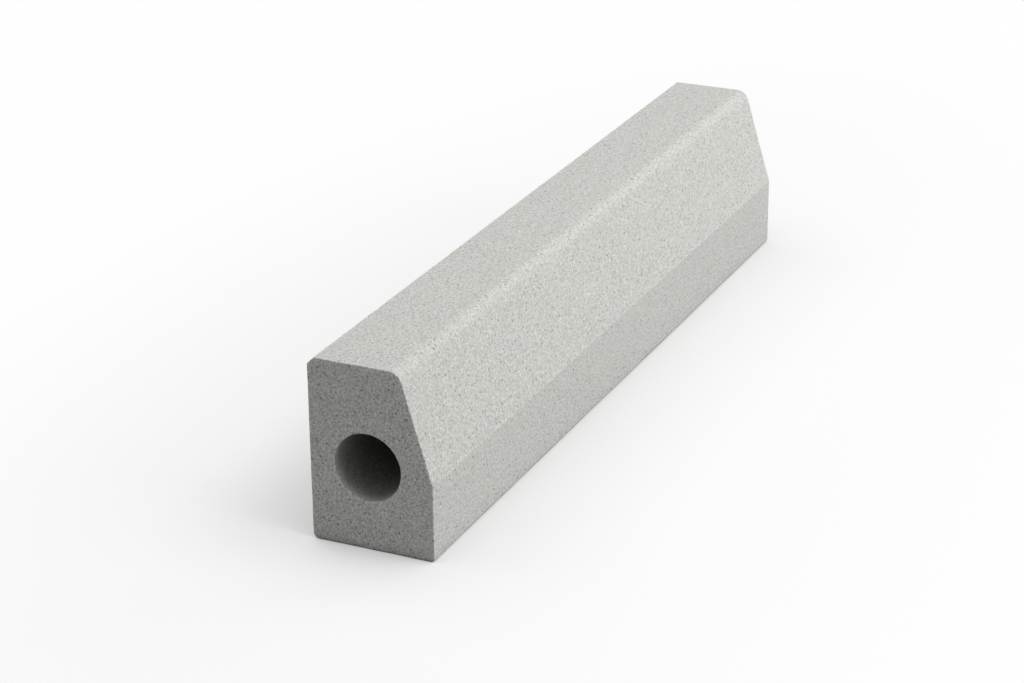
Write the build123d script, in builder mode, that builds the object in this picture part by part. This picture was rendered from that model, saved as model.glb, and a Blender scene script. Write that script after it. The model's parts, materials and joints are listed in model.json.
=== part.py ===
"""Concrete kerb stone: one cast block with a round core hole along its length.

The kerb runs along X and stands on Z = 0, with the origin under the middle of its base.
Its battered face looks towards -Y and its flat back towards +Y.
"""

import os

from build123d import *

# Driving dimensions, in millimetres
kerb_length = 1000.0
kerb_height = 205.0
base_width = 140.0
foot_height = 85.0  # upright part of the front, below the batter
batter_setback = 36.0  # how far the batter leans back between the foot and the top
nose_radius = 15.0  # rounded edge between the batter and the top
back_bevel = 8.0  # 45 degree bevel along the back top edge
base_front_radius = 4.0  # rounded edge between the base and the front
base_back_radius = 7.0  # rounded edge between the base and the back
core_diameter = 75.0
core_back_cover = 28.5  # concrete between the core hole and the back face
core_base_cover = 55.0  # concrete between the core hole and the base
end_edge_radius = 1.0  # softened edge round both ends and both mouths of the core hole

# Places that follow from those sizes
front_y = -base_width / 2
back_y = base_width / 2
nose_y = front_y + batter_setback
core_radius = core_diameter / 2
core_y = back_y - core_back_cover - core_radius
core_z = core_base_cover + core_radius

with BuildPart() as kerb_stone:
    # Cross-section, with Y across the kerb and Z up
    with BuildSketch(Plane.YZ) as section:
        with BuildLine():
            Polyline(
                (front_y, 0),
                (back_y, 0),
                (back_y, kerb_height),
                (nose_y, kerb_height),
                (front_y, foot_height),
                close=True,
            )
        make_face()

        # Rounded and bevelled long edges
        nose_corner = section.vertices().group_by(Axis.Y)[-1].sort_by(Axis.X)[0]
        fillet(nose_corner, radius=nose_radius)
        back_corner = section.vertices().group_by(Axis.Y)[-1].sort_by(Axis.X)[-1]
        chamfer(back_corner, length=back_bevel)
        base_front_corner = section.vertices().group_by(Axis.Y)[0].sort_by(Axis.X)[0]
        fillet(base_front_corner, radius=base_front_radius)
        base_back_corner = section.vertices().group_by(Axis.Y)[0].sort_by(Axis.X)[-1]
        fillet(base_back_corner, radius=base_back_radius)

        # Core hole
        with Locations((core_y, core_z)):
            Circle(core_radius, mode=Mode.SUBTRACT)

    extrude(amount=kerb_length / 2, both=True)

    # Softened edges of the two square ends, outside and round the core hole
    end_edges = kerb_stone.faces().filter_by(Axis.X).edges()
    fillet(end_edges, radius=end_edge_radius)

kerb_stone.part.label = "kerb_stone"

os.makedirs("parts", exist_ok=True)
export_step(kerb_stone.part, "parts/kerb_stone.step")
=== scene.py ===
"""Concrete kerb stone in a plain white studio.

The kerb is one closed surface: its section is carried along X, turned in over both end faces and led
back through the core hole. Waviness, worn arrises and small air pores are part of the mesh, and the
grain of the concrete is in its material. Lengths are metres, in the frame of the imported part, with X
along the kerb, Y towards its back and Z up.
"""

import json
import logging
import math
from dataclasses import dataclass
from enum import Enum
from typing import Any, Union

import bpy
import numpy as np
from mathutils import Matrix, Vector


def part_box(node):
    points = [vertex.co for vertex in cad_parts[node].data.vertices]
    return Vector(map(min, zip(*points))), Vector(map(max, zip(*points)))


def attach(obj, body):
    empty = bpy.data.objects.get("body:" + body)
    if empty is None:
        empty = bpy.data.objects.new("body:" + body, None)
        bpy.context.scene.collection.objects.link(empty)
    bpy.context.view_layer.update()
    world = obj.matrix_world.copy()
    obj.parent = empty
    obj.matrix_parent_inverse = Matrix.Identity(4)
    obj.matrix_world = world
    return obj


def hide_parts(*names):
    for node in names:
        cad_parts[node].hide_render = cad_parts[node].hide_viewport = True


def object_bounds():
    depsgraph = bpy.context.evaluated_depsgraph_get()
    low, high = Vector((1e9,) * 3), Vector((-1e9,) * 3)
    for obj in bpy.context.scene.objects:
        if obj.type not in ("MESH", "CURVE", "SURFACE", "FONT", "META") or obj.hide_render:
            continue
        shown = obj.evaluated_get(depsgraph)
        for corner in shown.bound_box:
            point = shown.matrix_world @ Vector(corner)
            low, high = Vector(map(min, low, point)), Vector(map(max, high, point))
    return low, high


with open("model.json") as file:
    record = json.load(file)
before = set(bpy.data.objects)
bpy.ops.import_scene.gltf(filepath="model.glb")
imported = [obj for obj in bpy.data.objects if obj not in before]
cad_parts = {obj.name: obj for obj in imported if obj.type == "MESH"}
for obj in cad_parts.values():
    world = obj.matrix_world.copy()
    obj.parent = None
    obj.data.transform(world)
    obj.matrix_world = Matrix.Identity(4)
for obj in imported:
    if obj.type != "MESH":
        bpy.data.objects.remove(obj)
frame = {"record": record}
CAD_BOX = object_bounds()

MILLIMETRE = 0.001
NEARLY_ONE = 0.999  # part of a unit vector from which it counts as pointing that way altogether
NO_EDGE = 1.0  # distance to an edge that is given where there is none

# Numbers of the Mix node's sockets for colours
MIX_SHARE = 0
MIX_FIRST = 6
MIX_SECOND = 7
MIX_RESULT = 2

log = logging.getLogger("kerb")

Colour = tuple[float, float, float]
Place = tuple[float, float, float]
Operand = Union["Signal", float]


class Signal:
    """A number that changes over a surface, carried by one node socket."""

    def __init__(self, graph: "ShaderGraph", socket: bpy.types.NodeSocket) -> None:
        """Wraps a socket of the graph."""
        self.graph = graph
        self.socket = socket

    def _math(self, operation: str, *operands: Operand) -> "Signal":
        """Adds a Math node.

        Args:
            operation: name of the Math node's operation.
            operands: its inputs, in order.

        Returns:
            The result of the operation.
        """
        inputs = dict(enumerate(operands))
        return self.graph.node("ShaderNodeMath", {"operation": operation}, inputs)

    def __add__(self, other: Operand) -> "Signal":
        """self + other"""
        return self._math("ADD", self, other)

    def __radd__(self, other: Operand) -> "Signal":
        """other + self"""
        return self._math("ADD", other, self)

    def __sub__(self, other: Operand) -> "Signal":
        """self - other"""
        return self._math("SUBTRACT", self, other)

    def __rsub__(self, other: Operand) -> "Signal":
        """other - self"""
        return self._math("SUBTRACT", other, self)

    def __mul__(self, other: Operand) -> "Signal":
        """self * other"""
        return self._math("MULTIPLY", self, other)

    def __rmul__(self, other: Operand) -> "Signal":
        """other * self"""
        return self._math("MULTIPLY", other, self)

    def __pow__(self, other: Operand) -> "Signal":
        """self ** other"""
        return self._math("POWER", self, other)

    def __rpow__(self, other: Operand) -> "Signal":
        """other ** self"""
        return self._math("POWER", other, self)

    def larger(self, other: Operand) -> "Signal":
        """The larger of self and other."""
        return self._math("MAXIMUM", self, other)

    def rise(self, low: Operand, high: Operand) -> "Signal":
        """A smooth step of self.

        Args:
            low: value of self where the step starts, at 0.
            high: value of self where the step ends, at 1; below low, the step falls.

        Returns:
            The step, from 0 to 1.
        """
        settings = {"interpolation_type": "SMOOTHSTEP"}
        inputs = {"Value": self, "From Min": low, "From Max": high}
        return self.graph.node("ShaderNodeMapRange", settings, inputs)


class ShaderGraph:
    """The nodes of one material or world."""

    def __init__(self, tree: bpy.types.NodeTree) -> None:
        """Starts with an empty node tree."""
        self.tree = tree
        tree.nodes.clear()

    def node(self, kind: str, settings: dict[str, Any], inputs: dict[Any, Any], output: Any = 0) -> Signal:
        """Adds one node.

        Args:
            kind: the node's type.
            settings: properties of the node, set before its inputs.
            inputs: value or Signal for each input, by name or number.
            output: name or number of the output to return.

        Returns:
            That output, or the node's first input where it has no outputs.
        """
        node = self.tree.nodes.new(kind)
        for name, value in settings.items():
            setattr(node, name, value)
        for key, value in inputs.items():
            if isinstance(value, Signal):
                self.tree.links.new(value.socket, node.inputs[key])
            else:
                node.inputs[key].default_value = value
        return Signal(self, node.outputs[output] if node.outputs else node.inputs[0])

    def attribute(self, name: str) -> Signal:
        """The mesh's value of that name."""
        return self.node("ShaderNodeAttribute", {"attribute_name": name}, {}, "Fac")

    def noise(self, place: Signal, scale: float, detail: float, roughness: float = 0.5) -> Signal:
        """Fractal noise.

        Args:
            place: coordinates.
            scale: features for each metre.
            detail: number of finer octaves.
            roughness: strength of each octave against the one before.

        Returns:
            The noise, from 0 to 1 with its middle near 0.5.
        """
        inputs = {"Vector": place, "Scale": scale, "Detail": detail, "Roughness": roughness}
        return self.node("ShaderNodeTexNoise", {"noise_dimensions": "3D"}, inputs)

    def grains(self, place: Signal, spacing: float) -> Signal:
        """Grains that fill the space, each with a random number.

        Args:
            place: coordinates.
            spacing: mean distance between grains.

        Returns:
            The number of the grain at the place, evenly spread from 0 to 1.
        """
        inputs = {"Vector": place, "Scale": 1 / spacing, "Randomness": 1.0}
        settings = {"voronoi_dimensions": "3D", "feature": "F1"}
        colour = self.node("ShaderNodeTexVoronoi", settings, inputs, "Color")
        return self.node("ShaderNodeSeparateColor", {"mode": "RGB"}, {"Color": colour}, "Red")

    def blend(self, share: Operand, first: Any, second: Any, mode: str = "MIX") -> Signal:
        """Mixes two colours.

        Args:
            share: share of the second colour.
            first: a colour or a Signal that carries one.
            second: a colour or a Signal that carries one.
            mode: how the second colour meets the first.

        Returns:
            The mixed colour.
        """
        settings = {"data_type": "RGBA", "blend_type": mode, "clamp_factor": True}
        inputs = {MIX_SHARE: share, MIX_FIRST: opaque(first), MIX_SECOND: opaque(second)}
        return self.node("ShaderNodeMix", settings, inputs, MIX_RESULT)


def opaque(colour: Any) -> Any:
    """The colour with full alpha, or the Signal that carries it."""
    return colour if isinstance(colour, Signal) else (*colour, 1.0)


@dataclass(frozen=True)
class SpeckLayer:
    """Specks of one kind, cut from balls that are scattered through the concrete."""

    spacing: float
    largest_radius: float
    scarcity: float
    strength: float
    shift: Place
    sink: float = 0.0
    solid_share: float = 0.55

    def mask(self, graph: ShaderGraph, place: Signal) -> Signal:
        """Where the specks are.

        Each cell of a Voronoi pattern holds one ball. Its radius is the largest one times a random number
        raised to the scarcity, which sets how many balls stay small.

        Args:
            graph: the material's nodes.
            place: coordinates.

        Returns:
            1 inside a speck, up to the solid share of its radius, and falling to 0 at its edge.
        """
        moved = graph.node("ShaderNodeVectorMath", {"operation": "ADD"}, {0: place, 1: self.shift})
        cells = {"Vector": moved, "Scale": 1 / self.spacing, "Randomness": 1.0}
        settings = {"voronoi_dimensions": "3D", "feature": "F1"}
        distance = graph.node("ShaderNodeTexVoronoi", settings, cells, "Distance")
        colour = graph.node("ShaderNodeTexVoronoi", settings, cells, "Color")
        chance = graph.node("ShaderNodeSeparateColor", {"mode": "RGB"}, {"Color": colour}, "Red")
        radius = chance**self.scarcity * (self.largest_radius / self.spacing)
        return distance.rise(radius, radius * self.solid_share)


@dataclass(frozen=True)
class ConcreteFinish:
    """Pale grey cast concrete with sand, grit, dark specks and open pores.

    It has painted shade in the core hole and along the base, most at the foot of the ends. A share is
    a part of the paste's brightness, a scale is a number of features for each metre, and a reach is the
    height over which a shade falls to about a third.
    """

    paste: Colour = (0.60, 0.60, 0.572)
    dark_grain: Colour = (0.09, 0.088, 0.082)
    light_grain: Colour = (0.80, 0.80, 0.77)
    # Dark colour in the pore pits, partly dirt and partly painted shade
    pore_dirt_and_shade: Colour = (0.15, 0.147, 0.138)
    pore_strength: float = 0.8
    pore_edge: tuple[float, float] = (0.1, 0.9)
    cloud_scale: float = 14.0
    blotch_scale: float = 120.0
    cloud_roughness: float = 0.6
    cloud_share: float = 0.06
    sand_spacing: float = 0.0011
    sand_share: float = 0.45
    grit_size: float = 0.0026
    grit_share: float = 0.75
    arris_share: float = 0.03
    side_contrast: float = 0.77
    # Painted shade in the core hole, deepening inwards from its mouth
    core_painted_shade: float = 0.71
    # Painted shade along the base, where the kerb stands on the floor
    base_painted_shade: float = 0.18
    base_painted_shade_reach: float = 0.006
    # Painted shadow line at the foot of the end faces
    painted_end_line_shade: float = 0.66
    painted_end_line_reach: float = 0.002
    specks: SpeckLayer = SpeckLayer(
        spacing=0.0070, largest_radius=0.0018, scarcity=0.5,
        strength=0.73, shift=(0.0, 0.0, 0.0), sink=0.6,
    )
    flecks: SpeckLayer = SpeckLayer(
        spacing=0.0034, largest_radius=0.0009, scarcity=0.8,
        strength=0.47, shift=(0.37, 0.11, 0.53), sink=0.35,
    )
    pale_flecks: SpeckLayer = SpeckLayer(
        spacing=0.0042, largest_radius=0.0016, scarcity=1.6,
        strength=0.35, shift=(0.71, 0.29, 0.17),
    )
    rough_scale: float = 700.0
    rough_height: float = 0.5
    blotch_height: float = 0.25
    bump_strength: float = 0.2
    bump_depth: float = 0.4 * MILLIMETRE
    least_roughness: float = 0.58
    roughness_spread: float = 0.16
    gloss: float = 0.2

    def material(self) -> bpy.types.Material:
        """Builds the material.

        Returns:
            The material, which reads Object coordinates and the mesh's pore, arris, end and core attributes.
        """
        material = bpy.data.materials.new("cast_concrete")
        material.use_nodes = True
        graph = ShaderGraph(material.node_tree)
        place = graph.node("ShaderNodeTexCoord", {}, {}, "Object")
        pore = graph.attribute("pore")
        arris = graph.attribute("arris")
        end = graph.attribute("end")
        core = graph.attribute("core")

        # Patterns
        clouds = graph.noise(place, self.cloud_scale, detail=4.0, roughness=self.cloud_roughness)
        blotches = graph.noise(place, self.blotch_scale, detail=3.0, roughness=self.cloud_roughness)
        sand = graph.grains(place, self.sand_spacing)
        grit = graph.noise(place, 1 / self.grit_size, detail=0.0)
        specks = self.specks.mask(graph, place)
        flecks = self.flecks.mask(graph, place)
        pale = self.pale_flecks.mask(graph, place)

        # Brightness of the paste, with the grain weaker on the long sides and painted shade in the core and
        # by the base
        contrast = self.side_contrast + (1.0 - self.side_contrast) * end
        tone = 1.0 + (clouds - 0.5) * self.cloud_share + (blotches - 0.5) * self.cloud_share
        grain = (sand - 0.5) * self.sand_share + (grit - 0.5) * self.grit_share
        tone = tone + grain * contrast + arris * self.arris_share
        height_up = graph.node("ShaderNodeSeparateXYZ", {}, {0: place}, "Z")
        # Painted shade that fades with height over the floor
        painted_base_mask = math.e ** (height_up * (-1 / self.base_painted_shade_reach))
        # Painted shadow line along the foot of the end faces
        painted_end_line = end * math.e ** (height_up * (-1 / self.painted_end_line_reach))
        tone = tone * (1.0 - core * self.core_painted_shade) * (1.0 - painted_base_mask * self.base_painted_shade)
        tone = tone * (1.0 - painted_end_line * self.painted_end_line_shade)

        # Colour, from the paste up to the pores
        grey = graph.node("ShaderNodeCombineColor", {"mode": "RGB"}, {0: tone, 1: tone, 2: tone})
        colour = graph.blend(1.0, self.paste, grey, "MULTIPLY")
        colour = graph.blend(pale * self.pale_flecks.strength, colour, self.light_grain)
        colour = graph.blend(flecks * contrast * self.flecks.strength, colour, self.dark_grain)
        colour = graph.blend(specks * contrast * self.specks.strength, colour, self.dark_grain)
        # The pores' middles darken: partly dirt and partly painted shade in the pits
        colour = graph.blend(pore.rise(*self.pore_edge) * self.pore_strength, colour, self.pore_dirt_and_shade)

        # Fine relief
        rough = graph.noise(place, self.rough_scale, detail=1.0)
        height = rough * self.rough_height + blotches * self.blotch_height
        height = height - specks * self.specks.sink - flecks * self.flecks.sink
        bump = {"Strength": self.bump_strength, "Distance": self.bump_depth, "Height": height}
        normal = graph.node("ShaderNodeBump", {}, bump)
        shader = graph.node(
            "ShaderNodeBsdfPrincipled",
            {},
            {
                "Base Color": colour,
                "Roughness": self.least_roughness + sand * self.roughness_spread,
                "Specular IOR Level": self.gloss,
                "Normal": normal,
            },
        )
        graph.node("ShaderNodeOutputMaterial", {}, {"Surface": shader})
        return material


@dataclass(frozen=True)
class StageFinish:
    """Matt white studio floor, which shows whiter to the camera than the light that it bounces."""

    seen: float = 0.93
    bounced: float = 0.3
    near_white: float = 0.7
    far_white: float = 0.97
    white_start: float = 0.6
    white_end: float = 1.6
    ellipse: Place = (1.0, 2.0, 0.0)
    shade_reach: float = 0.2
    shade_power: float = 2.0
    shade_samples: int = 16

    def material(self) -> bpy.types.Material:
        """Builds the material.

        A ray that sees the floor directly finds a mixture of the lit floor and plain white. The share of
        white grows away from the kerb, over an ellipse that is twice as long as it is wide. Close to the
        kerb it gives way, with a power of how open the floor is there, and so keeps the shade.

        Returns:
            The material.
        """
        material = bpy.data.materials.new("studio_white")
        material.use_nodes = True
        graph = ShaderGraph(material.node_tree)
        seen = seen_directly(graph)
        colour = graph.blend(seen, (self.bounced,) * 3, (self.seen,) * 3)
        lit = graph.node("ShaderNodeBsdfDiffuse", {}, {"Color": colour})
        white = graph.node("ShaderNodeEmission", {}, {"Color": opaque((1.0, 1.0, 1.0)), "Strength": 1.0})
        place = graph.node("ShaderNodeTexCoord", {}, {}, "Object")
        factors = {0: place, 1: self.ellipse}
        stretched = graph.node("ShaderNodeVectorMath", {"operation": "MULTIPLY"}, factors)
        away = graph.node("ShaderNodeVectorMath", {"operation": "LENGTH"}, {0: stretched}, "Value")
        whiter = away.rise(self.white_start, self.white_end)
        fill = self.near_white + (self.far_white - self.near_white) * whiter
        settings = {"samples": self.shade_samples}
        reach = {"Distance": self.shade_reach}
        openness = graph.node("ShaderNodeAmbientOcclusion", settings, reach, "AO")
        share = seen * fill * openness**self.shade_power
        shader = graph.node("ShaderNodeMixShader", {}, {0: share, 1: lit, 2: white})
        graph.node("ShaderNodeOutputMaterial", {}, {"Surface": shader})
        return material


def seen_directly(graph: ShaderGraph) -> Signal:
    """1 for a ray from the camera, or one that a shiny or clear surface sends on, and 0 for other rays."""
    camera = graph.node("ShaderNodeLightPath", {}, {}, "Is Camera Ray")
    glossy = graph.node("ShaderNodeLightPath", {}, {}, "Is Glossy Ray")
    transmission = graph.node("ShaderNodeLightPath", {}, {}, "Is Transmission Ray")
    return camera.larger(glossy).larger(transmission)


def lattice_noise(points: np.ndarray, wavelength: float, seed: int) -> np.ndarray:
    """Smooth random values in space.

    Random numbers stand on a cubic lattice of the given pitch, and a point takes the mean of the eight
    around it, weighted by smoothed distances.

    Args:
        points: array of places, with the coordinates along its last axis.
        wavelength: pitch of the lattice.
        seed: seed of the random numbers.

    Returns:
        One value from 0 to 1 for each point.
    """
    side = 64
    table = np.random.default_rng(seed).random((side, side, side))
    scaled = points / wavelength
    corner = np.floor(scaled).astype(int)
    part = scaled - corner
    part = part * part * (3 - 2 * part)
    total = np.zeros(points.shape[:-1])
    for step in np.ndindex(2, 2, 2):
        weight = np.prod(np.where(np.array(step) == 1, part, 1 - part), axis=-1)
        cell = (corner + np.array(step)) % side
        total += weight * table[cell[..., 0], cell[..., 1], cell[..., 2]]
    return total


def spaced(start: float, end: float, cell: float, support: float) -> np.ndarray:
    """Stations inside a straight run, with one close to each end so that the edge there stays crisp.

    Args:
        start: where the run starts.
        end: where it ends.
        cell: distance between stations.
        support: distance of the first and the last station from the ends.

    Returns:
        The stations, without the two ends.
    """
    count = max(2, round(abs(end - start) / cell) + 1)
    inset = math.copysign(min(support, abs(end - start) / 4), end - start)
    return np.linspace(start + inset, end - inset, count)


def steps_around(reach: int) -> list[tuple[int, int]]:
    """Steps from a grid point to all others within reach, by row and column."""
    span = range(-reach, reach + 1)
    return [(i, j) for i in span for j in span if (i, j) != (0, 0)]


@dataclass(frozen=True)
class Outline:
    """The section's outline as points, with the outward normal and the distance to an edge at each."""

    points: np.ndarray
    normals: np.ndarray
    to_edge: np.ndarray


@dataclass(frozen=True)
class Section:
    """Cross-section of the kerb, with Y across it and Z up."""

    front: float
    back: float
    base: float
    top: float
    foot_height: float = 0.085
    batter_setback: float = 0.036
    nose_radius: float = 0.015
    back_bevel: float = 0.008
    base_front_radius: float = 0.004
    base_back_radius: float = 0.007
    arris_radius: float = 0.0012
    cell: float = 0.0032
    arc_cell: float = 0.0016
    support: float = 0.0006
    arris_steps: int = 3

    def corners(self) -> np.ndarray:
        """Corners in order from the front of the base, as rows of y, z and radius."""
        worn = self.arris_radius
        return np.array(
            [
                (self.front, self.base, self.base_front_radius),
                (self.back, self.base, self.base_back_radius),
                (self.back, self.top - self.back_bevel, worn),
                (self.back - self.back_bevel, self.top, worn),
                (self.front + self.batter_setback, self.top, self.nose_radius),
                (self.front, self.base + self.foot_height, worn),
            ]
        )

    def outline(self) -> Outline:
        """Points round the section.

        Each corner is an arc of its radius that touches the two straight runs beside it, and each run has
        evenly spaced points. Normals point away from the arcs' centres, and are square to the runs.

        Returns:
            The closed outline, without its first point repeated.
        """
        table = self.corners()
        corner = table[:, :2]
        radius = table[:, 2]
        ahead = np.roll(corner, -1, axis=0) - corner
        ahead /= np.linalg.norm(ahead, axis=1, keepdims=True)
        behind = np.roll(ahead, 1, axis=0)
        heading = np.arctan2(ahead[:, 1], ahead[:, 0])
        heading_before = np.roll(heading, 1)
        turn = (heading - heading_before) % (2 * math.pi)
        tangent = radius * np.tan(turn / 2)
        arc_start = corner - behind * tangent[:, None]
        arc_end = corner + ahead * tangent[:, None]
        inward = np.stack([-behind[:, 1], behind[:, 0]], axis=1)
        centre = arc_start + inward * radius[:, None]
        points, normals, to_edge = [], [], []
        for i in range(len(corner)):
            is_round = radius[i] > self.arris_radius
            steps = max(self.arris_steps, round(radius[i] * turn[i] / self.arc_cell))
            angle = heading_before[i] - math.pi / 2 + np.linspace(0, turn[i], steps + 1)
            arc_normals = np.stack([np.cos(angle), np.sin(angle)], axis=1)
            points.append(centre[i] + radius[i] * arc_normals)
            normals.append(arc_normals)
            to_edge.append(np.full(steps + 1, NO_EDGE if is_round else 0.0))
            run_end = arc_start[(i + 1) % len(corner)]
            length = np.linalg.norm(run_end - arc_end[i])
            along = spaced(0.0, length, self.cell, self.support)
            points.append(arc_end[i] + along[:, None] * ahead[i])
            normals.append(np.tile([ahead[i, 1], -ahead[i, 0]], (len(along), 1)))
            to_edge.append(np.minimum(along, length - along))
        return Outline(np.concatenate(points), np.concatenate(normals), np.concatenate(to_edge))


@dataclass(frozen=True)
class Rings:
    """How the section changes along the path over the kerb's outside, ends and core, one entry a ring."""

    x: np.ndarray
    inset: np.ndarray
    to_core: np.ndarray
    core_radius: np.ndarray
    along: np.ndarray
    outward: np.ndarray


@dataclass(frozen=True)
class Relief:
    """Small departures of the cast surface from its true shape, all of them inwards."""

    wave_depth: float = 0.00010
    wave_length: float = 0.085
    grain_depth: float = 0.00006
    grain_length: float = 0.0095
    wear_depth: float = 0.0003
    wear_length: float = 0.011
    wear_reach: float = 0.0014
    wear_gain: float = 2.2
    pore_radius: tuple[float, float] = (0.00045, 0.0012)
    pore_scarcity: float = 2.5
    pore_depth: float = 1.15
    pore_margin: float = 0.004
    pore_share: float = 0.8
    pore_spacing_cells: int = 2
    pore_cell_share: float = 0.42
    pore_unevenness: tuple[float, float] = (0.75, 1.15)
    seed: int = 7


@dataclass
class KerbStone:
    """The cast kerb: a section carried along X, with a core hole from end to end."""

    section: Section
    left: float
    right: float
    core_centre: np.ndarray
    core_radius: float
    finish: ConcreteFinish
    relief: Relief
    end_radius: float = 0.001
    # Painted shade in the core hole: its share at the mouth, and the depth over which it deepens
    core_mouth_share: float = 0.41
    core_painted_shade_reach: float = 0.045
    cell: float = 0.0034
    support: float = 0.0006
    end_steps: int = 3
    face_cells: int = 17
    face_support: float = 0.012
    core_cells: int = 32
    core_crowding: float = 1.6
    sharp_angle_deg: float = 32.0

    @property
    def middle(self) -> float:
        """X of the middle of the kerb."""
        return 0.5 * (self.left + self.right)

    @property
    def half_straight(self) -> float:
        """Distance from the middle of the kerb to where the rounded edge of an end starts."""
        return (self.right - self.left) / 2 - self.end_radius

    def half_path(self) -> Rings:
        """Rings from the middle of the outside, over the right end, to the middle of the core.

        The path runs along the outside, turns a quarter circle round the end's edge, crosses the end face
        from the outline to the core's mouth, turns a quarter circle into the core and runs back along it,
        with its rings closest together by the mouth.

        Returns:
            The rings, with x measured from the middle of the kerb.
        """
        half = (self.right - self.left) / 2
        straight = self.half_straight
        edge = self.end_radius
        bore = self.core_radius
        outside = np.append(spaced(0.0, straight, self.cell, self.support)[1:], straight)
        quarter = np.linspace(0, math.pi / 2, self.end_steps + 1)[1:]
        sine, cosine = np.sin(quarter), np.cos(quarter)
        face = np.append(spaced(0.0, 1.0, 1 / self.face_cells, self.face_support), 1.0)
        core = straight * (1 - np.linspace(0.0, 1.0, self.core_cells) ** self.core_crowding)[1:-1]

        # Outside, outer edge, end face, edge of the mouth and core, with values in the order of Rings
        stretches = [
            (outside, 0.0, 0.0, bore + edge, 0.0, 1.0),
            (straight + edge * sine, edge * (1 - cosine), 0.0, bore + edge, sine, cosine),
            (half, edge, face, bore + edge, 1.0, 0.0),
            (straight + edge * cosine, 0.0, 1.0, bore + edge * (1 - sine), cosine, -sine),
            (core, 0.0, 1.0, bore, 0.0, -1.0),
        ]
        evened = [np.broadcast_arrays(*stretch) for stretch in stretches]
        return Rings(*(np.concatenate(values) for values in zip(*evened)))

    def path(self) -> Rings:
        """Rings of the whole closed path: the right half, and then the left half on the way back."""
        half = self.half_path()

        def both(values: np.ndarray, sign: float) -> np.ndarray:
            """The right half's values with the left half's, mirrored, after them."""
            return np.concatenate([values, sign * values[::-1]])

        return Rings(
            x=self.middle + both(half.x, -1.0),
            inset=both(half.inset, 1.0),
            to_core=both(half.to_core, 1.0),
            core_radius=both(half.core_radius, 1.0),
            along=both(half.along, -1.0),
            outward=both(half.outward, 1.0),
        )

    def true_surface(self) -> tuple[np.ndarray, np.ndarray, np.ndarray]:
        """The kerb's true shape on a grid that closes on itself both ways.

        A grid row is a ring of the path and a column is a point of the outline. A ring's point lies between
        the inset outline and the point of the core's circle that is in the same direction from its centre.

        Returns:
            Points, outward normals, and the distance from each point to the nearest edge.
        """
        outline = self.section.outline()
        rings = self.path()
        ray = outline.points - self.core_centre
        towards = ray / np.linalg.norm(ray, axis=1, keepdims=True)
        outer = outline.points - rings.inset[:, None, None] * outline.normals
        inner = self.core_centre + rings.core_radius[:, None, None] * towards
        share = rings.to_core[:, None, None]
        across = (1 - share) * outer + share * inner
        shape = across.shape[:2]
        x = np.broadcast_to(rings.x[:, None], shape)
        points = np.concatenate([x[..., None], across], axis=2)

        outward = rings.outward[:, None, None]
        sideways = np.where(outward >= 0, outward * outline.normals, outward * towards)
        along = np.broadcast_to(rings.along[:, None], shape)
        normals = np.concatenate([along[..., None], sideways], axis=2)

        to_end = np.maximum(0.0, self.half_straight - np.abs(rings.x - self.middle))[:, None]
        face_width = np.linalg.norm(inner - outer, axis=2)
        to_rim = np.minimum(rings.to_core, 1 - rings.to_core)[:, None] * face_width
        on_face = (np.abs(rings.along) > NEARLY_ONE)[:, None]
        on_outside = (rings.outward > NEARLY_ONE)[:, None]
        to_edge = np.where(on_outside, np.minimum(outline.to_edge, to_end), to_end)
        to_edge = np.where(on_face, to_rim, to_edge)
        return points, normals, to_edge

    def worn_surface(self) -> tuple[np.ndarray, np.ndarray, np.ndarray]:
        """The true shape with its waviness, worn arrises and air pores.

        Waviness and wear are lattice noise, moved inwards along the normal, and wear fades with the distance
        from an edge.

        Returns:
            Points, closeness to an edge from 0 to 1, and True at each pore's middle.
        """
        relief = self.relief
        points, normals, to_edge = self.true_surface()
        wave = lattice_noise(points, relief.wave_length, relief.seed)
        grain = lattice_noise(points, relief.grain_length, relief.seed + 1)
        nibble = lattice_noise(points, relief.wear_length, relief.seed + 2)
        near_edge = np.exp(-((to_edge / relief.wear_reach) ** 2))
        wear = np.clip(relief.wear_gain * (nibble - 0.5), 0.0, 1.0) * near_edge
        depth = relief.wave_depth * wave + relief.grain_depth * grain + relief.wear_depth * wear
        points = points - depth[..., None] * normals
        is_pore = self.sink_pores(points, normals, to_edge)
        return points, near_edge, is_pore

    def sink_pores(self, points: np.ndarray, normals: np.ndarray, to_edge: np.ndarray) -> np.ndarray:
        """Sinks air pores into the surface, away from its edges and not in the core.

        A share of the grid points that have the largest random number among their neighbours are pores. A
        pore's point sinks, and the eight points round it close in on its rim.

        Args:
            points: places of the surface's grid, which are moved.
            normals: outward normals there.
            to_edge: distance to the nearest edge there.

        Returns:
            True at each pore's middle.
        """
        relief = self.relief
        rows, columns = to_edge.shape
        rng = np.random.default_rng(relief.seed + 3)
        chance = rng.random(to_edge.shape)
        neighbours = np.stack(
            [np.roll(chance, step, axis=(0, 1)) for step in steps_around(relief.pore_spacing_cells)]
        )
        is_pore = (chance > neighbours.max(axis=0)) & (to_edge > relief.pore_margin)
        is_pore &= rng.random(to_edge.shape) < relief.pore_share
        is_pore &= (self.path().outward >= 0)[:, None]
        row, column = np.nonzero(is_pore)
        smallest, largest = relief.pore_radius
        size = smallest + (largest - smallest) * rng.random(len(row)) ** relief.pore_scarcity
        middle = points[row, column].copy()
        rim = [((row + i) % rows, (column + j) % columns) for i, j in steps_around(1)]
        reach = np.stack([np.linalg.norm(points[at] - middle, axis=1) for at in rim])
        size = np.minimum(size, relief.pore_cell_share * reach.min(axis=0))
        for at, length in zip(rim, reach):
            uneven = size * rng.uniform(*relief.pore_unevenness, len(row))
            points[at] = middle + (points[at] - middle) * (uneven / length)[:, None]
        points[row, column] = middle - (relief.pore_depth * size)[:, None] * normals[row, column]
        return is_pore

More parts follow.
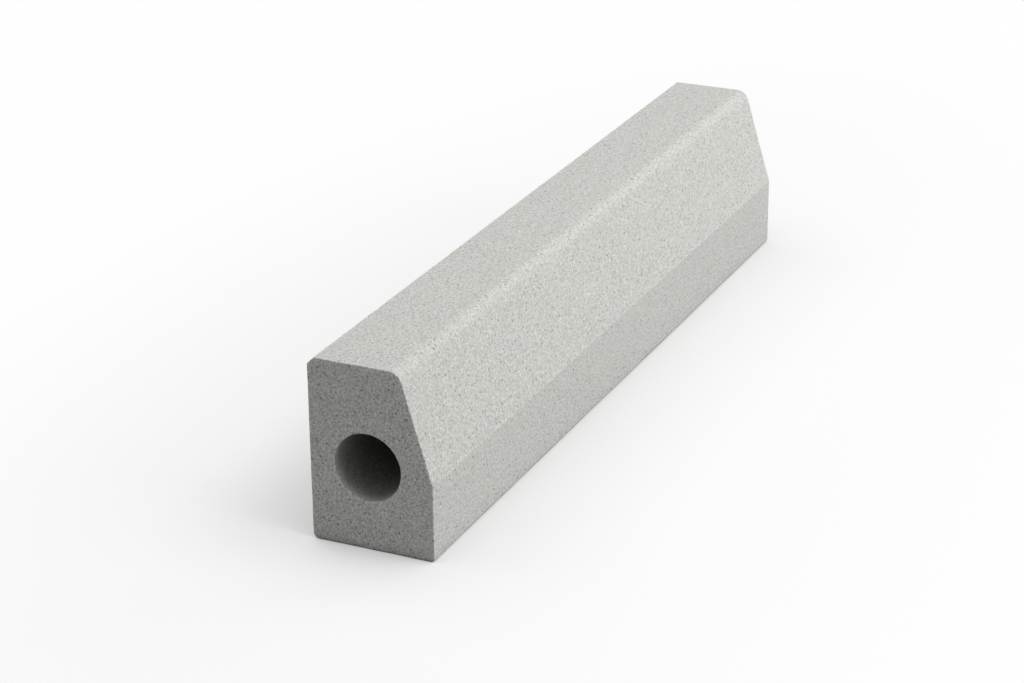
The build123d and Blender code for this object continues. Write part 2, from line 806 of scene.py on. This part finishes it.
    def places_on_path(self) -> tuple[np.ndarray, np.ndarray]:
        """Where each ring of the path lies.

        The core's value, which sets the painted shade in the core hole, rises round the edge of its mouth
        to the mouth's share, and from there towards 1 with the depth in the core, as one minus an
        exponential.

        Returns:
            1 on the end faces and 0 elsewhere, and a value from 0 outside the core to 1 deep in it.
        """
        rings = self.path()
        depth = np.maximum(0.0, self.half_straight - np.abs(rings.x - self.middle))
        fade = np.exp(-depth / self.core_painted_shade_reach)
        in_core = np.maximum(0.0, -rings.outward)
        return np.abs(rings.along), in_core * (1 - (1 - self.core_mouth_share) * fade)

    def build(self) -> bpy.types.Object:
        """Makes the kerb's mesh.

        Each cell of the grid is two triangles, split through a pore's middle where it has one.

        Returns:
            The kerb, dressed in its finish.
        """
        points, arris, is_pore = self.worn_surface()
        rows, columns = is_pore.shape
        index = np.arange(rows * columns).reshape(rows, columns)
        a = index
        b = np.roll(index, -1, axis=1)
        d = np.roll(index, -1, axis=0)
        c = np.roll(d, -1, axis=1)
        pore = is_pore.ravel()
        other_way = (pore[b] | pore[d])[..., None]
        first = np.where(other_way, np.stack([a, b, d], axis=-1), np.stack([a, b, c], axis=-1))
        second = np.where(other_way, np.stack([b, c, d], axis=-1), np.stack([a, c, d], axis=-1))
        triangles = np.concatenate([first.reshape(-1, 3), second.reshape(-1, 3)])
        places = points.reshape(-1, 3)
        if signed_volume(places, triangles) < 0:
            triangles = triangles[:, ::-1]
        end, core = (np.repeat(values, columns) for values in self.places_on_path())
        attributes = {"arris": arris.ravel(), "pore": pore, "end": end, "core": core}
        kerb = mesh_object("kerb_concrete", places, triangles, attributes)
        kerb.data.shade_smooth()
        kerb.data.set_sharp_from_angle(angle=math.radians(self.sharp_angle_deg))
        kerb.data.materials.append(self.finish.material())
        return kerb


def signed_volume(points: np.ndarray, triangles: np.ndarray) -> float:
    """Volume inside the triangles, negative where they point inwards."""
    first, second, third = (points[triangles[:, i]] for i in range(3))
    return float(np.einsum("ij,ij->i", first, np.cross(second, third)).sum() / 6)


def mesh_object(
    name: str, points: np.ndarray, triangles: np.ndarray, attributes: dict[str, np.ndarray]
) -> bpy.types.Object:
    """Makes an object from arrays.

    Args:
        name: the object's name.
        points: places of its vertices, one a row.
        triangles: vertex numbers, three a row.
        attributes: a value for each vertex, by name.

    Returns:
        The object, at the origin and in the scene.
    """
    mesh = bpy.data.meshes.new(name)
    mesh.vertices.add(len(points))
    mesh.vertices.foreach_set("co", points.astype(np.float32).ravel())
    mesh.loops.add(triangles.size)
    mesh.loops.foreach_set("vertex_index", triangles.astype(np.int32).ravel())
    mesh.polygons.add(len(triangles))
    mesh.polygons.foreach_set("loop_start", np.arange(0, triangles.size, 3, dtype=np.int32))
    mesh.update(calc_edges=True)
    for key, values in attributes.items():
        layer = mesh.attributes.new(key, "FLOAT", "POINT")
        layer.data.foreach_set("value", values.astype(np.float32))
    made = bpy.data.objects.new(name, mesh)
    bpy.context.scene.collection.objects.link(made)
    return made


class LampRole(Enum):
    """What each lamp of the studio does."""

    LOW_FRONT = "low_front"
    HIGH_FRONT = "high_front"
    SIDE = "side"
    BACK = "back"


@dataclass(frozen=True)
class Lamp:
    """A square soft box that is aimed at the middle of the kerb."""

    role: LampRole
    azimuth_deg: float
    elevation_deg: float
    distance: float
    side: float
    watts: float

    def build(self, target: Vector) -> bpy.types.Object:
        """Hangs the lamp.

        Args:
            target: the point that it is aimed at.

        Returns:
            The lamp.
        """
        light = bpy.data.lights.new(self.role.value, "AREA")
        light.shape = "SQUARE"
        light.size = self.side
        light.energy = self.watts
        lamp = bpy.data.objects.new(self.role.value, light)
        bpy.context.scene.collection.objects.link(lamp)
        outward = direction(self.azimuth_deg, self.elevation_deg)
        lamp.location = target + outward * self.distance
        lamp.rotation_euler = (-outward).to_track_quat("-Z", "Y").to_euler()
        return lamp


def direction(azimuth_deg: float, elevation_deg: float) -> Vector:
    """Unit vector from the kerb to a viewer or lamp.

    Args:
        azimuth_deg: angle about Z, 0 on the side of -Y and 90 on that of +X.
        elevation_deg: angle above the floor.

    Returns:
        The vector.
    """
    azimuth = math.radians(azimuth_deg)
    elevation = math.radians(elevation_deg)
    level = math.cos(elevation)
    return Vector((math.sin(azimuth) * level, -math.cos(azimuth) * level, math.sin(elevation)))


@dataclass(frozen=True)
class PhotoView:
    """The camera, where the photograph was taken from."""

    target: Place = (0.0545, 0.0989, 0.0)
    distance: float = 3.2362
    azimuth_deg: float = -65.057
    elevation_deg: float = 23.035
    roll_deg: float = -0.507
    focal_px: float = 2663.3
    picture_width_px: int = 1024
    sensor_width_mm: float = 36.0
    farthest: float = 200.0

    def build(self) -> bpy.types.Object:
        """Places the camera and makes it the scene's own.

        Returns:
            The camera.
        """
        data = bpy.data.cameras.new("photo_view")
        data.sensor_width = self.sensor_width_mm
        data.lens = self.focal_px * self.sensor_width_mm / self.picture_width_px
        data.clip_end = self.farthest
        camera = bpy.data.objects.new("photo_view", data)
        bpy.context.scene.collection.objects.link(camera)
        outward = direction(self.azimuth_deg, self.elevation_deg)
        aim = (-outward).to_track_quat("-Z", "Y").to_matrix().to_4x4()
        roll = Matrix.Rotation(math.radians(self.roll_deg), 4, "Z")
        camera.matrix_world = Matrix.Translation(Vector(self.target) + outward * self.distance) @ aim @ roll
        bpy.context.scene.camera = camera
        return camera


@dataclass
class Studio:
    """White floor, soft light and camera."""

    target: Vector
    floor_half: float = 40.0
    ambient: float = 0.357
    lamps: tuple[Lamp, ...] = (
        Lamp(LampRole.LOW_FRONT, azimuth_deg=0.0, elevation_deg=19.0, distance=4.0, side=2.6, watts=42.0),
        Lamp(LampRole.HIGH_FRONT, azimuth_deg=0.0, elevation_deg=50.0, distance=4.0, side=3.0, watts=59.0),
        Lamp(LampRole.SIDE, azimuth_deg=60.0, elevation_deg=19.0, distance=4.0, side=2.6, watts=43.0),
        Lamp(LampRole.BACK, azimuth_deg=180.0, elevation_deg=60.0, distance=4.0, side=3.0, watts=39.0),
    )
    floor_finish: StageFinish = StageFinish()
    view: PhotoView = PhotoView()

    def build_floor(self) -> bpy.types.Object:
        """Lays the floor under the kerb."""
        half = self.floor_half
        points = np.array([(-half, -half, 0.0), (half, -half, 0.0), (half, half, 0.0), (-half, half, 0.0)])
        floor = mesh_object("studio_floor", points, np.array([(0, 1, 2), (0, 2, 3)]), {})
        floor.data.materials.append(self.floor_finish.material())
        return floor

    def build_world(self) -> None:
        """Lights the scene evenly from all round, with a white background for the camera."""
        world = bpy.data.worlds.new("studio_light")
        world.use_nodes = True
        graph = ShaderGraph(world.node_tree)
        strength = self.ambient + (1.0 - self.ambient) * seen_directly(graph)
        inputs = {"Color": (1.0, 1.0, 1.0, 1.0), "Strength": strength}
        background = graph.node("ShaderNodeBackground", {}, inputs)
        graph.node("ShaderNodeOutputWorld", {}, {"Surface": background})
        bpy.context.scene.world = world

    def build(self) -> None:
        """Builds the whole studio."""
        self.build_floor()
        self.build_world()
        for lamp in self.lamps:
            lamp.build(self.target)
        self.view.build()
        bpy.context.scene.view_settings.view_transform = "Standard"


def mount(name: str) -> dict[str, Any]:
    """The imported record's mount of that name."""
    return next(m for m in frame["record"]["mounts"] if m["name"] == name)


def kerb_from_frame() -> KerbStone:
    """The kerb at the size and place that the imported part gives."""
    low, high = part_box("kerb_stone")
    core = mount("core_hole")
    section = Section(front=low.y, back=high.y, base=low.z, top=high.z)
    return KerbStone(
        section=section,
        left=low.x,
        right=high.x,
        core_centre=np.array(core["pos_m"][1:]),
        core_radius=core["dims"]["r_mm"] * MILLIMETRE,
        finish=ConcreteFinish(),
        relief=Relief(),
    )


def main() -> None:
    """Builds the kerb and the studio round it."""
    logging.basicConfig(level=logging.INFO, format="%(name)s: %(message)s")
    kerb = kerb_from_frame().build()
    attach(kerb, "root")
    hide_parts("kerb_stone")
    log.info("%s has %d triangles", kerb.name, len(kerb.data.polygons))
    low, high = CAD_BOX
    Studio(target=(low + high) / 2).build()
    log.info("studio is ready")


if __name__ == "__main__":
    main()
